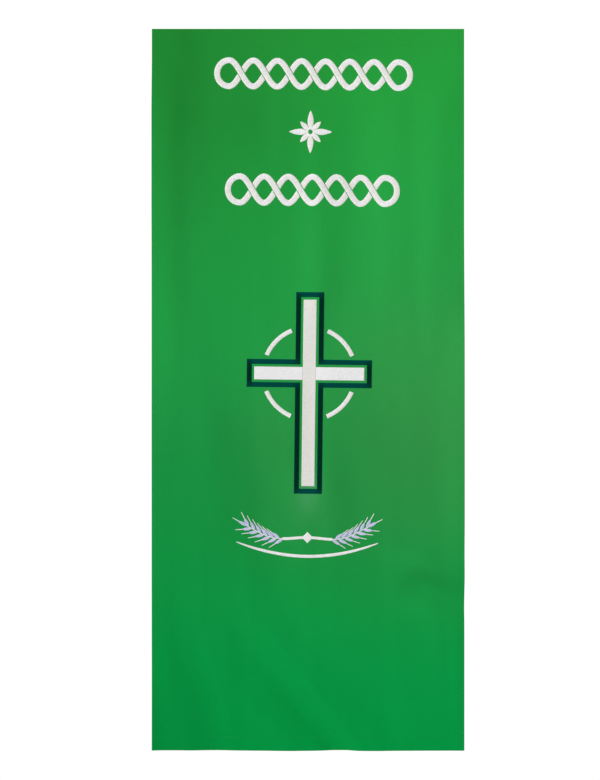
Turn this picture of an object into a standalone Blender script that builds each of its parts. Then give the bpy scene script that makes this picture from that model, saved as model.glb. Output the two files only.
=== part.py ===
"""Ambo cloth: a hemmed green panel hanging from its top edge, with raised thread work on its face.

Metres, +Z up. The face looks towards -Y. The origin is the middle of the top edge, in the plane of the
top hem's back, so a flat ambo front fastened to the hem lies at y = 0 and the cloth hangs before it.
"""

import math
from collections import namedtuple

import bpy
import numpy as np

# Driving dimensions of the panel
WIDTH = 0.500
DROP = 1.155
SHEET = 0.0012
HEM_LAYER = 0.0012
SIDE_HEM = 0.012
TOP_HEM = 0.030
BOTTOM_HEM = 0.025
HEM_EDGE = 0.0004

# How the panel hangs
LIP_STANDOFF = 0.0060
LIP_REACH = 0.110
COLUMN_STEP = 0.0115
ROW_STEP = 0.036
CREASED_ROW_STEP = 0.020
CREASED_BELOW = -0.800

# Thread work: a pad of stitches stands this far off the cloth, and is this high
PAD_GAP = 0.0005
PAD_HEIGHT = 0.0010
PAD_STEP = 0.012

# The middle of each motif, and the lean that the embroidery hoop gave them all
At = namedtuple("At", "x z")
UPPER_PLAIT_AT = At(0.009, -0.073)
ROSETTE_AT = At(0.004, -0.166)
LOWER_PLAIT_AT = At(0.007, -0.259)
CROSSING_AT = At(0.002, -0.552)
EARS_AT = At(-0.001, -0.814)
LEAN = math.radians(-0.7)

# Plait bands: two strands of one wave, in opposite step, that close each end of the band in a round
STRAND = 0.0096
PLAIT_SWING = 0.0210
EYE_LENGTH = 0.0386
UPPER_EYES = 8
LOWER_EYES = 7
STEPS_PER_EYE = 8
END_STEPS = 5
END_LAP = 0.08
STRAND_STAGGER = 0.0001

# Rosette: eight petals, long and short in turn, round an open eye
ROSETTE_LONG = 0.034
ROSETTE_SHORT = 0.023
ROSETTE_NECK = 0.010
ROSETTE_EYE = 0.0035
PETALS = 8
STEPS_PER_PETAL = 8

# Ringed cross
BAR = 0.0208
ARM_SPAN = 0.176
HEAD = 0.118
FOOT = 0.180
EDGING_GAP = 0.004
EDGING = 0.008
RING_RADIUS = 0.074
RING = 0.007
RING_CLEARANCE = 0.005
RING_STEPS = 8

# Ears of wheat: two ears lie outward on bowed stalks that a knot ties, over a plain bowed line
EAR_FROM = 0.038
EAR_TO = 0.113
EAR_RISE = 0.026
EAR_SAG = 0.007
GRAINS = 6
GRAIN_STEPS = 8
GRAIN_ROOT = 0.0045
EAR_POINT = 0.0008
GRAIN_TIP = 0.0125
STALK = 0.0046
KNOT = 0.0090
BOW_BELOW = 0.030
BOW_RISE = 0.022
BOW = 0.0050
BOW_STEPS = 20

# A fold is a soft ridge (depth above 0, towards -Y) or trough along the line from head to foot.
# It fades out over its ends, and half_width is where a section has sunk to 1/e of its depth.
Fold = namedtuple("Fold", "head_x head_z foot_x foot_z half_width depth")
FOLDS = (
    Fold(-0.230, 0.100, -0.224, -0.400, 0.032, 0.0072),
    Fold(-0.222, -0.300, -0.222, -0.740, 0.022, 0.0032),
    Fold(-0.215, -0.330, -0.128, -0.920, 0.036, 0.0052),
    Fold(-0.040, -0.040, -0.046, -0.300, 0.030, 0.0022),
    Fold(0.024, -0.060, 0.032, -0.500, 0.029, 0.0050),
    Fold(0.131, -0.040, 0.136, -0.480, 0.028, 0.0028),
    Fold(0.262, 0.060, 0.262, -0.430, 0.032, -0.0068),
    Fold(0.268, -0.380, 0.264, -0.900, 0.034, 0.0060),
    Fold(-0.013, -0.680, -0.010, -0.980, 0.030, 0.0026),
    Fold(0.112, -0.846, 0.330, -0.876, 0.021, 0.0046),
    Fold(0.050, -0.936, 0.262, -0.984, 0.028, 0.0024),
    Fold(-0.165, -0.910, 0.123, -1.235, 0.021, -0.0052),
    Fold(-0.105, -0.900, 0.185, -1.235, 0.026, 0.0034),
    Fold(-0.190, -0.960, 0.060, -1.250, 0.026, 0.0030),
    Fold(-0.232, -0.860, -0.120, -1.260, 0.034, -0.0056),
)

Thread = namedtuple("Thread", "colour roughness")
FINISHES = {
    "cloth_green": Thread((0.020, 0.300, 0.050), 0.75),
    "thread_white": Thread((0.800, 0.780, 0.760), 0.45),
    "thread_dark_green": Thread((0.003, 0.045, 0.042), 0.45),
    "thread_lavender": Thread((0.590, 0.600, 0.820), 0.45),
}


def smooth(t):
    """Rises from 0 to 1 over t from 0 to 1, level at both ends."""
    t = np.clip(t, 0.0, 1.0)
    return t * t * (3.0 - 2.0 * t)


def fold_depth(x, z):
    """How far the cloth stands forward of its plane at the top hem: nothing on the hem, then a little for
    the lip it falls from, plus each fold's bell section, faded over both ends of its line."""
    total = np.full(np.shape(x), LIP_STANDOFF)
    for fold in FOLDS:
        run_x, run_z = fold.foot_x - fold.head_x, fold.foot_z - fold.head_z
        length = math.hypot(run_x, run_z)
        along = ((x - fold.head_x) * run_x + (z - fold.head_z) * run_z) / length**2
        across = ((x - fold.head_x) * run_z - (z - fold.head_z) * run_x) / length
        ends = smooth(2.0 * (1.0 - np.abs(2.0 * along - 1.0)))
        total = total + fold.depth * ends * np.exp(-((across / fold.half_width) ** 2))
    return np.maximum(total, 0.0) * smooth((-z - TOP_HEM) / LIP_REACH)


def face_y(x, z):
    """The face of the cloth at (x, z)."""
    return -(HEM_LAYER + SHEET) - fold_depth(x, z)


def lines_between(stops, step):
    """Grid lines through every stop, with even lines no further apart than step between them."""
    lines = [stops[0]]
    for start, end in zip(stops[:-1], stops[1:]):
        parts = max(1, math.ceil((end - start) / step - 1e-6))
        lines += [start + (end - start) * part / parts for part in range(1, parts + 1)]
    return np.array(lines)


def shell_of_cells(x, z, back, front, keep, closed):
    """Points and faces of the body over the kept cells of a grid, closed by a wall round their edge.
    A closed grid joins its last column to its first."""
    columns, rows = x.shape
    points = np.stack([np.stack([x, y, z], axis=-1) for y in (front, back)]).reshape(-1, 3)
    faces = []

    def corner(side, column, row):
        return (side * columns + column % columns) * rows + row

    def kept(column, row):
        inside = 0 <= row < keep.shape[1] and (closed or 0 <= column < keep.shape[0])
        return inside and keep[column % keep.shape[0], row]

    for column, row in zip(*np.nonzero(keep)):
        ring = ((column, row), (column + 1, row), (column + 1, row + 1), (column, row + 1))
        beyond = ((column, row - 1), (column + 1, row), (column, row + 1), (column - 1, row))
        faces.append([corner(0, *place) for place in ring])
        faces.append([corner(1, *place) for place in reversed(ring)])
        for side, neighbour in enumerate(beyond):
            if not kept(*neighbour):
                start, end = ring[side], ring[(side + 1) % 4]
                faces.append([corner(0, *end), corner(0, *start), corner(1, *start), corner(1, *end)])
    return points, faces


def finish_material(slot):
    """The slot's Principled material, made once."""
    if slot in bpy.data.materials:
        return bpy.data.materials[slot]
    material = bpy.data.materials.new(slot)
    material.use_nodes = True
    shader = material.node_tree.nodes["Principled BSDF"]
    shader.inputs["Base Color"].default_value = (*FINISHES[slot].colour, 1.0)
    shader.inputs["Roughness"].default_value = FINISHES[slot].roughness
    shader.inputs["Metallic"].default_value = 0.0
    material.diffuse_color = (*FINISHES[slot].colour, 1.0)
    return material


def add_body(name, points, faces, slot):
    """A named object from points and faces, its unused points dropped, shaded smooth but for its edges."""
    used = np.unique(np.concatenate([np.asarray(face) for face in faces]))
    renumbered = {old: new for new, old in enumerate(used)}
    mesh = bpy.data.meshes.new(name)
    mesh.from_pydata(points[used].tolist(), [], [[renumbered[i] for i in face] for face in faces])
    mesh.validate()
    mesh.shade_smooth()
    mesh.set_sharp_from_angle(angle=math.radians(40.0))
    mesh.materials.append(finish_material(slot))
    body = bpy.data.objects.new(name, mesh)
    bpy.context.scene.collection.objects.link(body)
    return body


def leaned(x, z, at):
    """Motif points about their own middle, leaned and put in their place on the panel."""
    turn_x = x * math.cos(LEAN) - z * math.sin(LEAN)
    turn_z = x * math.sin(LEAN) + z * math.cos(LEAN)
    return turn_x + at.x, turn_z + at.z


def add_pad(name, x, z, at, slot, keep=None, closed=False):
    """A pad of thread over a grid of motif points, lying on the folds of the cloth."""
    x, z = leaned(x, z, at)
    back = face_y(x, z) - PAD_GAP
    if keep is None:
        keep = np.ones((x.shape[0] - (0 if closed else 1), x.shape[1] - 1), bool)
    points, faces = shell_of_cells(x, z, back, back - PAD_HEIGHT, keep, closed)
    return add_body(name, points, faces, slot)


def ribbon(path_x, path_z, below, above=None):
    """Grid of points on a band: each path point carried along the path's normal, by below on the one
    side and by above, or as far again, on the other."""
    below = np.broadcast_to(below, path_x.shape)
    above = below if above is None else above
    step_x, step_z = np.gradient(path_x), np.gradient(path_z)
    length = np.hypot(step_x, step_z)
    offsets = np.stack([-below, above], axis=1)
    x = path_x[:, None] - offsets * (step_z / length)[:, None]
    z = path_z[:, None] + offsets * (step_x / length)[:, None]
    return x, z


def build_cloth():
    """The panel: one sheet, its hems turned back as a second layer behind all four edges."""
    half = WIDTH / 2
    inner = half - SIDE_HEM
    x_lines = lines_between([-half, -inner, -inner + HEM_EDGE, inner - HEM_EDGE, inner, half], COLUMN_STEP)
    hem_top = -DROP + BOTTOM_HEM
    lip_foot = -TOP_HEM - LIP_REACH
    low = lines_between([-DROP, hem_top, hem_top + HEM_EDGE, CREASED_BELOW], CREASED_ROW_STEP)
    middle = lines_between([CREASED_BELOW, lip_foot], ROW_STEP)
    high = lines_between([lip_foot, -TOP_HEM - HEM_EDGE, -TOP_HEM], CREASED_ROW_STEP)
    z_lines = np.concatenate([low, middle[1:], high[1:], [0.0]])
    x, z = np.meshgrid(x_lines, z_lines, indexing="ij")
    front = face_y(x, z)
    tiny = HEM_EDGE / 4
    hemmed = (np.abs(x) > inner - tiny) | (z > -TOP_HEM - tiny) | (z < -DROP + BOTTOM_HEM + tiny)
    back = front + SHEET + np.where(hemmed, HEM_LAYER, 0.0)
    keep = np.ones((len(x_lines) - 1, len(z_lines) - 1), bool)
    points, faces = shell_of_cells(x, z, back, front, keep, closed=False)
    return add_body("cloth", points, faces, "cloth_green")


def plait_path(eyes):
    """One strand's centre line: a quarter ellipse round the band's end, a wave with one half turn to
    each eye, and a quarter ellipse at the other end. Both ends lap a little past the middle line."""
    turn = np.linspace(-END_LAP, math.pi / 2, END_STEPS + 1)[:-1]
    wave = np.linspace(0.5, eyes - 0.5, (eyes - 1) * STEPS_PER_EYE + 1)
    end_side = 1.0 if eyes % 2 else -1.0
    along = np.concatenate([(1.0 - np.cos(turn)) / 2, wave, eyes - (1.0 - np.cos(turn[::-1])) / 2])
    swing = np.concatenate([np.sin(turn), np.sin(math.pi * wave), end_side * np.sin(turn[::-1])])
    return (along - eyes / 2) * EYE_LENGTH, PLAIT_SWING * swing


def strand_solid(name, eyes, direction, back, front):
    """One strand of a plait, still flat."""
    path_x, path_z = plait_path(eyes)
    path_z = direction * path_z
    x, z = ribbon(path_x, path_z, STRAND / 2)
    keep = np.ones((x.shape[0] - 1, x.shape[1] - 1), bool)
    flat = np.ones_like(x)
    points, faces = shell_of_cells(x, z, back * flat, front * flat, keep, closed=False)
    return add_body(name, points, faces, "thread_white")


def build_plait(name, eyes, at):
    """Two strands united where they cross, then laid on the folds of the cloth."""
    rising = strand_solid(name, eyes, 1.0, -PAD_GAP, -PAD_GAP - PAD_HEIGHT)
    over = -PAD_GAP - STRAND_STAGGER
    falling = strand_solid(name + "_strand", eyes, -1.0, over, over - PAD_HEIGHT)
    union = rising.modifiers.new("crossings", "BOOLEAN")
    union.operation = "UNION"
    union.object = falling
    bpy.context.view_layer.update()
    united = bpy.data.meshes.new_from_object(rising.evaluated_get(bpy.context.evaluated_depsgraph_get()))
    rising.modifiers.clear()
    rising.data = united
    bpy.data.objects.remove(falling)
    flat = np.array([point.co for point in united.vertices])
    x, z = leaned(flat[:, 0], flat[:, 2], at)
    laid = np.stack([x, flat[:, 1] + face_y(x, z), z], axis=1)
    united.vertices.foreach_set("co", laid.ravel())
    united.update()


def build_rosette():
    """Eight petals about an eye: rings of points whose reach swells at each petal."""
    turn = np.arange(PETALS * STEPS_PER_PETAL) / (PETALS * STEPS_PER_PETAL)
    tip = np.where(np.round(turn * PETALS) % 2 == 0, ROSETTE_LONG, ROSETTE_SHORT)
    swell = np.abs(np.cos(math.pi * PETALS * turn)) ** 1.5
    reach = ROSETTE_NECK + (tip - ROSETTE_NECK) * swell
    radius = ROSETTE_EYE + (reach - ROSETTE_EYE)[:, None] * np.array([0.0, 0.5, 1.0])
    angle = -2.0 * math.pi * turn[:, None]
    x = np.cos(angle) * radius
    z = np.sin(angle) * radius
    add_pad("rosette", x, z, ROSETTE_AT, "thread_white", closed=True)


def inside_cross(x, z, grown):
    """Whether points are inside the cross, about its crossing, with its outline moved out by grown."""
    upright = (np.abs(x) < BAR / 2 + grown) & (z < HEAD + grown) & (z > -FOOT - grown)
    arms = (np.abs(z) < BAR / 2 + grown) & (np.abs(x) < ARM_SPAN / 2 + grown)
    return upright | arms


def add_cross_pad(name, outer, inner, slot):
    """A pad between two outlines of the cross, or inside the outer one where inner is None."""
    grown = [0.0] if inner is None else [inner, outer]
    sides = {side * (BAR / 2 + g) for side in (-1, 1) for g in grown}
    arm_ends = {side * (ARM_SPAN / 2 + g) for side in (-1, 1) for g in grown}
    x_stops = sorted(sides | arm_ends)
    z_stops = sorted(sides | {HEAD + g for g in grown} | {-FOOT - g for g in grown})
    x_lines, z_lines = lines_between(x_stops, PAD_STEP), lines_between(z_stops, 2 * PAD_STEP)
    mid_x, mid_z = np.meshgrid(
        (x_lines[1:] + x_lines[:-1]) / 2, (z_lines[1:] + z_lines[:-1]) / 2, indexing="ij"
    )
    keep = inside_cross(mid_x, mid_z, outer)
    if inner is not None:
        keep &= ~inside_cross(mid_x, mid_z, inner)
    x, z = np.meshgrid(x_lines, z_lines, indexing="ij")
    add_pad(name, x, z, CROSSING_AT, slot, keep)


def build_ring():
    """Four arcs of one ring, each standing between two arms of the edged cross."""
    half_arm = BAR / 2 + EDGING_GAP + EDGING + RING_CLEARANCE
    first = math.asin(half_arm / (RING_RADIUS - RING / 2))
    for quarter in range(4):
        angle = quarter * math.pi / 2 + np.linspace(math.pi / 2 - first, first, RING_STEPS + 1)
        x, z = ribbon(RING_RADIUS * np.cos(angle), RING_RADIUS * np.sin(angle), RING / 2)
        add_pad(f"ring_arc_{quarter + 1}", x, z, CROSSING_AT, "thread_white")


def stalk_z(x):
    """Height of both stalks at a distance from the knot: they dip, then rise to the ears' tips."""
    share = np.abs(x) / EAR_TO
    return EAR_RISE * share**2 - EAR_SAG * np.sin(math.pi * share) ** 2


def grain_width(share, stagger):
    """Width of one side of an ear at a share of its length: each grain swells to its widest beyond its
    middle, and the grains grow smaller towards the ear's tip."""
    grain = share * (GRAINS - 0.5) + stagger
    swell = np.sin(math.pi * (grain - np.floor(grain)) ** 1.5)
    taper = 1.0 - 0.45 * share**2
    pointed = smooth(share / 0.06) * smooth((1.0 - share) / 0.06)
    return EAR_POINT + ((GRAIN_ROOT + (GRAIN_TIP - GRAIN_ROOT) * swell) * taper - EAR_POINT) * pointed


def build_ears():
    """The two ears, their grains set in turn on the one side and the other of each stalk."""
    steps = round(GRAIN_STEPS * (GRAINS - 0.5))
    share = np.linspace(0.0, 1.0, steps + 1)
    run = EAR_FROM + (EAR_TO - EAR_FROM) * share
    rise = stalk_z(run)
    inner, outer = grain_width(share, 0.0), grain_width(share, 0.5)
    x, z = ribbon(run, rise, inner, outer)
    add_pad("ear_right", x, z, EARS_AT, "thread_lavender")
    x, z = ribbon(-run[::-1], rise[::-1], inner[::-1], outer[::-1])
    add_pad("ear_left", x, z, EARS_AT, "thread_lavender")


def build_stalks():
    """Both stalks as one band that swells to a lozenge where the knot ties them."""
    reach = EAR_FROM - PAD_GAP
    run = lines_between([-reach, -KNOT, 0.0, KNOT, reach], PAD_STEP / 2)
    half = np.maximum(STALK / 2, KNOT - np.abs(run))
    x, z = ribbon(run, stalk_z(run), half)
    add_pad("stalks", x, z, EARS_AT, "thread_white")


def build_bow():
    """The bowed line under the ears, thinner at its ends."""
    run = np.linspace(-EAR_TO, EAR_TO, BOW_STEPS + 1)
    share = run / EAR_TO
    half = BOW / 2 * (1.0 - 0.7 * share**4)
    x, z = ribbon(run, BOW_RISE * share**2 - BOW_BELOW, half)
    add_pad("bow", x, z, EARS_AT, "thread_white")


def main():
    for leftover in list(bpy.data.objects):
        bpy.data.objects.remove(leftover)
    build_cloth()
    build_plait("plait_upper", UPPER_EYES, UPPER_PLAIT_AT)
    build_rosette()
    build_plait("plait_lower", LOWER_EYES, LOWER_PLAIT_AT)
    add_cross_pad("cross", 0.0, None, "thread_white")
    add_cross_pad("cross_edging", EDGING_GAP + EDGING, EDGING_GAP, "thread_dark_green")
    build_ring()
    build_ears()
    build_stalks()
    build_bow()


main()
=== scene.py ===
"""Ambo cloth, dressed: a woven green panel with turned hems, hanging in soft folds, with raised thread work.

Metres, in the row's own frame: +Z up, the face towards -Y, the origin at the middle of the top edge.
Every surface is a function of two parameters on a grid, worked out as whole arrays.
"""

import math
from collections import namedtuple

import bpy
import numpy as np
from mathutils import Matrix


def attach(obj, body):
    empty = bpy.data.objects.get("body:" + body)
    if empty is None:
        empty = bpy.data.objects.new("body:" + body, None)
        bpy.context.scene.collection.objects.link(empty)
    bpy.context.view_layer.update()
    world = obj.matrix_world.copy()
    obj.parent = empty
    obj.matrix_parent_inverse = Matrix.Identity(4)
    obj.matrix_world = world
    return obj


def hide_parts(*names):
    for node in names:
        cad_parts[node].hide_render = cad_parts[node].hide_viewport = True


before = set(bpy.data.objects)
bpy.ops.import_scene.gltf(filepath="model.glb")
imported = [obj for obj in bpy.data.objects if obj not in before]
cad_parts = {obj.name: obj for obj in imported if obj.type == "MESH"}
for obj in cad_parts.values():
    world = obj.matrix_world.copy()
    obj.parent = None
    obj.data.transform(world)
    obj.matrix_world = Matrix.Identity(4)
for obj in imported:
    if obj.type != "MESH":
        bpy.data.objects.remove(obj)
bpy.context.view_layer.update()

# Panel and hems, as the solid has them
WIDTH = 0.500
DROP = 1.155
SIDE_HEM = 0.012
TOP_HEM = 0.030
BOTTOM_HEM = 0.025

# Plane of the face at the top hem, and how far the cloth below stands off it once it has faded in
FACE_PLANE = -0.0024
LIP_STANDOFF = 0.0060
LIP_REACH = 0.110
RESTING_SOFTNESS = 0.0012

# Thickness of the cloth and of the layer turned back, with what the rim keeps and crossed hems gain
CLOTH = 0.0010
TURNED_LAYER = 0.0011
RIM_THICKNESS = 0.25
HEM_CROSSING = 0.15

# The panel's grid, with finer lines in from its outer rim and across the free edge of each hem
PANEL_COLUMN = 0.0036
PANEL_ROW = 0.0048
RIM_LINES = (0.0, 0.00012, 0.0004, 0.0008, 0.0013)
HEM_EDGE_LINES = (-0.0002, 0.0, 0.00015, 0.0005, 0.0012)

# Sewing of the hems
HEM_STITCH = 0.0024
HEM_STITCH_PITCH = 0.0030
HEM_STITCH_WIDTH = 0.0005
HEM_STITCH_INSET = 0.0030
HEM_STITCH_END = 0.0015

# One hem stitch along its length: share of the length, share of its width, and how deep it lies
Section = namedtuple("Section", "share girth sink")
HEM_STITCH_SECTIONS = (
    Section(0.0, 0.25, 0.00035),
    Section(0.3, 1.00, -0.00010),
    Section(0.7, 1.00, -0.00010),
    Section(1.0, 0.25, 0.00035),
)
HEM_STITCH_SIDES = 5

# Thread: its pitch, the grid's steps to each, the ridge as a share of the height, and the rooting
THREAD = 0.0006
THREAD_STEPS = 3
RIDGE = 0.16
ROOTED = 0.00012

# Satin: its height, and how far its threads differ in reach and in height
SATIN_CROWN = 0.0011
REACH_SPREAD = 0.035
HEIGHT_SPREAD = 0.06

# Flat lower thread behind
BOBBIN_THREAD = 0.0016
BOBBIN_CROWN = 0.0004

# Fill: height, stitch, grid and rounded rim, and needle holes and their scatter as shares of a stitch
FILL_CROWN = 0.0010
FILL_STITCH = 0.0042
FILL_STEP = 0.0014
FILL_END_LINES = (0.0002, 0.0006)
FILL_RIM = 0.0012
NEEDLE_HOLE = 0.16
NEEDLE_SCATTER = 0.08

# Light of the surround, relative to white paper in full light
SURROUND_HIGH = 0.34
SURROUND_LEVEL = 0.66
SURROUND_BEHIND = 1.02

# Where that light changes: by height from the horizon up, and from beside the cloth to behind it
DIMS_FROM, DIMS_TO = 0.12, 0.42
BEHIND_FROM, BEHIND_TO = 0.2, 0.8

# Floor under the hem: its size, height and paleness, and the radii between which it thins out
FLOOR_RADIUS = 2.15
FLOOR_SIDES = 64
FLOOR_Z = -1.60
FLOOR_LIGHT = 0.86
FLOOR_FULL, FLOOR_GONE = 1.0, 2.1

# Camera, with its lens and sensor in millimetres
CAMERA_PLACE = (-0.0128, -3.471, -0.5783)
LENS = 100.0
SENSOR = 36.0

# Where each motif's own middle stands, and how far they all lean
At = namedtuple("At", "x z")
UPPER_PLAIT_AT = At(0.009, -0.073)
ROSETTE_AT = At(0.004, -0.166)
LOWER_PLAIT_AT = At(0.007, -0.259)
CROSSING_AT = At(0.002, -0.552)
EARS_AT = At(-0.001, -0.814)
LEAN = math.radians(-0.7)

# Plait bands
STRAND = 0.0096
STRAND_GAP = 0.0009
PLAIT_SWING = 0.0210
EYE_LENGTH = 0.0386
UPPER_EYES = 8
LOWER_EYES = 7

# Rosette
ROSETTE_LONG = 0.034
ROSETTE_SHORT = 0.023
ROSETTE_EYE = 0.0035
PETAL_HALF = 0.0047
SHORT_PETAL = 0.82
PETAL_ROOT = 0.0055
EYE_RIM = 0.0082
LEAF_TIP = 0.0003

# Cross, its border and its ring
BAR = 0.0208
ARM_SPAN = 0.176
HEAD = 0.118
FOOT = 0.180
EDGING_GAP = 0.004
EDGING = 0.008
MITRE_FAN = 0.006
RING_RADIUS = 0.074
RING = 0.007
RING_CLEARANCE = 0.005
BUTT_GAP = 0.0001

# Ears of wheat, stalks and bowed line
EAR_FROM = 0.038
EAR_TO = 0.113
EAR_RISE = 0.026
EAR_SAG = 0.007
GRAIN_LENGTH = 0.0155
GRAIN_HALF = 0.0023
GRAIN_SPREAD = math.radians(33.0)
GRAINS = 6
GRAIN_OFFSET = 0.0012
AWN = 0.0110
AWN_WIDTH = 0.0016
AWN_CROWN = 0.0007
AWN_TAPER = 0.4
AWN_LAP = 0.001
STALK = 0.0046
STALK_LAP = 0.002
KNOT = 0.0090
BOW_BELOW = 0.030
BOW_RISE = 0.022
BOW = 0.0050
BOW_TAPER = 0.7

# Folds as the solid has them: a soft ridge (depth above 0, towards -Y) or trough from head to foot
Fold = namedtuple("Fold", "head_x head_z foot_x foot_z half_width depth")
FOLDS = (
    Fold(-0.230, 0.100, -0.224, -0.400, 0.032, 0.0072),
    Fold(-0.222, -0.300, -0.222, -0.740, 0.022, 0.0032),
    Fold(-0.215, -0.330, -0.128, -0.920, 0.036, 0.0052),
    Fold(-0.040, -0.040, -0.046, -0.300, 0.030, 0.0022),
    Fold(0.024, -0.060, 0.032, -0.500, 0.029, 0.0050),
    Fold(0.131, -0.040, 0.136, -0.480, 0.028, 0.0028),
    Fold(0.262, 0.060, 0.262, -0.430, 0.032, -0.0068),
    Fold(0.268, -0.380, 0.264, -0.900, 0.034, 0.0060),
    Fold(-0.013, -0.680, -0.010, -0.980, 0.030, 0.0026),
    Fold(0.112, -0.846, 0.330, -0.876, 0.021, 0.0046),
    Fold(0.050, -0.936, 0.262, -0.984, 0.028, 0.0024),
    Fold(-0.165, -0.910, 0.123, -1.235, 0.021, -0.0052),
    Fold(-0.105, -0.900, 0.185, -1.235, 0.026, 0.0034),
    Fold(-0.190, -0.960, 0.060, -1.250, 0.026, 0.0030),
    Fold(-0.232, -0.860, -0.120, -1.260, 0.034, -0.0056),
)

# Finer creases that only the cloth itself has
CREASES = (
    Fold(-0.215, 0.120, -0.212, -0.420, 0.030, 0.0010),
    Fold(0.026, -0.030, 0.028, -0.250, 0.026, -0.0022),
    Fold(0.007, -0.130, 0.012, -0.540, 0.020, 0.0027),
    Fold(0.060, -0.280, 0.056, -0.470, 0.012, -0.0007),
    Fold(0.206, -0.020, 0.208, -0.400, 0.024, 0.0025),
    Fold(0.190, -0.330, 0.205, -0.560, 0.020, 0.0026),
    Fold(0.250, -0.420, 0.248, -0.900, 0.030, 0.0036),
    Fold(-0.200, -0.340, -0.180, -0.640, 0.034, -0.0024),
    Fold(-0.160, -0.550, -0.080, -1.000, 0.032, 0.0036),
    Fold(0.036, -0.480, 0.044, -0.860, 0.032, 0.0026),
    Fold(-0.022, -0.540, -0.026, -0.790, 0.018, 0.0018),
    Fold(0.030, -0.660, 0.032, -1.000, 0.030, 0.0022),
    Fold(0.150, -0.843, 0.290, -0.900, 0.016, 0.0042),
    Fold(0.144, -0.880, 0.290, -0.945, 0.016, -0.0040),
    Fold(0.222, -0.930, 0.224, -1.060, 0.008, -0.0007),
    Fold(-0.100, -0.915, 0.140, -1.235, 0.014, 0.0026),
    Fold(-0.027, -1.052, 0.105, -1.219, 0.015, -0.0034),
    Fold(-0.195, -0.930, -0.070, -1.070, 0.024, -0.0024),
    Fold(-0.188, -0.900, -0.108, -1.160, 0.010, 0.0008),
    Fold(-0.285, -0.930, -0.170, -1.330, 0.030, -0.0034),
    Fold(-0.176, -0.780, -0.168, -0.960, 0.014, 0.0012),
)

# Weave, and the cloth's colour by height from the foot up: bluer at the foot, and redder towards the top,
# where it is a painted sheen
WEAVE = 0.0009
CLOTH_COLOURS_WITH_SHEEN = (
    (-1.155, (0.0004, 0.320, 0.0585)),
    (-1.000, (0.0018, 0.330, 0.0600)),
    (-0.850, (0.0062, 0.325, 0.0595)),
    (-0.630, (0.0140, 0.315, 0.0600)),
    (-0.400, (0.0150, 0.315, 0.0540)),
    (-0.150, (0.0170, 0.315, 0.0460)),
    (0.000, (0.0190, 0.315, 0.0410)),
)
# The paler, redder green of the painted sheen, then the brighter, paler green of one soft spot
CLOTH_SHEEN_PALE = (0.036, 0.315, 0.067)
CLOTH_BLOOM = (0.080, 0.395, 0.142)

# A soft place in the colour: middle and half width of a bell across and of one down, and an amount
Place = namedtuple("Place", "east east_width up up_width amount")

# Places painted with sheen, each going that share of the way to the paler sheen colour
PAINTED_SHEEN_PLACES = (
    Place(-0.004, 0.080, -0.785, 0.065, 0.36),
    Place(-0.055, 0.050, -0.650, 0.120, 0.42),
)
BLOOM_PLACE = Place(-0.001, 0.019, -0.742, 0.034, 0.62)

# Places that gain that share of light
LIT_PLACES = (
    Place(0.168, 0.028, -0.925, 0.020, 0.05),
    Place(0.004, 0.030, -0.355, 0.085, 0.06),
    Place(0.008, 0.030, -0.955, 0.060, 0.06),
    Place(0.250, 0.024, -0.428, 0.050, -0.10),
    Place(-0.080, 0.050, -0.155, 0.060, -0.05),
    Place(-0.130, 0.050, -0.790, 0.090, -0.04),
)

# Slow ripples of the cloth: their lengths across and down, where they start, and their height
Ripple = namedtuple("Ripple", "across down turn height")
RIPPLES = (
    Ripple(0.071, 0.530, 0.4, 0.00022),
    Ripple(0.047, 0.820, 2.1, 0.00014),
    Ripple(0.118, 0.290, 4.0, 0.00026),
    Ripple(0.033, 1.300, 5.2, 0.00008),
)


def smooth(t):
    """Rises from 0 to 1 over t from 0 to 1, level at both ends: 3 t squared less 2 t cubed."""
    t = np.clip(t, 0.0, 1.0)
    return t * t * (3.0 - 2.0 * t)


def quarter_round(t):
    """Height of a quarter circle over t from 0 to 1: the root of 1 less (1 - t) squared."""
    return np.sqrt(1.0 - (1.0 - np.clip(t, 0.0, 1.0)) ** 2)


def folded(folds, x, z):
    """Sum over the folds of depth times exp of minus (distance across over half width) squared, faded
    by smooth over the quarter of the line at each end."""
    total = np.zeros(np.shape(x))
    for fold in folds:
        run_x, run_z = fold.foot_x - fold.head_x, fold.foot_z - fold.head_z
        length = math.hypot(run_x, run_z)
        along = ((x - fold.head_x) * run_x + (z - fold.head_z) * run_z) / length**2
        across = ((x - fold.head_x) * run_z - (z - fold.head_z) * run_x) / length
        ends = smooth(2.0 * (1.0 - np.abs(2.0 * along - 1.0)))
        total = total + fold.depth * ends * np.exp(-((across / fold.half_width) ** 2))
    return total


def rippled(x, z):
    """Sum of slow sine waves, each of x over its width across plus z over its length down."""
    return sum(r.height * np.sin(2 * math.pi * (x / r.across + z / r.down) + r.turn) for r in RIPPLES)


def face_y(x, z):
    """The face of the cloth: its plane at the hem, less the folds, creases and ripples, which fade in
    below the top hem. Their sum t stops softly at that plane: half of t plus the root of t squared and
    the softness squared."""
    main = np.maximum(LIP_STANDOFF + folded(FOLDS, x, z), 0.0)
    proud = (main + folded(CREASES, x, z) + rippled(x, z)) * smooth((-z - TOP_HEM) / LIP_REACH)
    return FACE_PLANE - (proud + np.hypot(proud, RESTING_SOFTNESS) - RESTING_SOFTNESS) / 2


def turned_layers(x, z):
    """Layers turned back behind each point: each hem rises to 1 in a quarter round at its free edge,
    and where two hems cross they gain HEM_CROSSING of a layer."""
    side = quarter_round((np.abs(x) - (WIDTH / 2 - SIDE_HEM)) / TURNED_LAYER)
    top = quarter_round((z + TOP_HEM) / TURNED_LAYER)
    bottom = quarter_round((BOTTOM_HEM - DROP - z) / TURNED_LAYER)
    end = np.maximum(top, bottom)
    return np.maximum(side, end) + HEM_CROSSING * side * end


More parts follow.
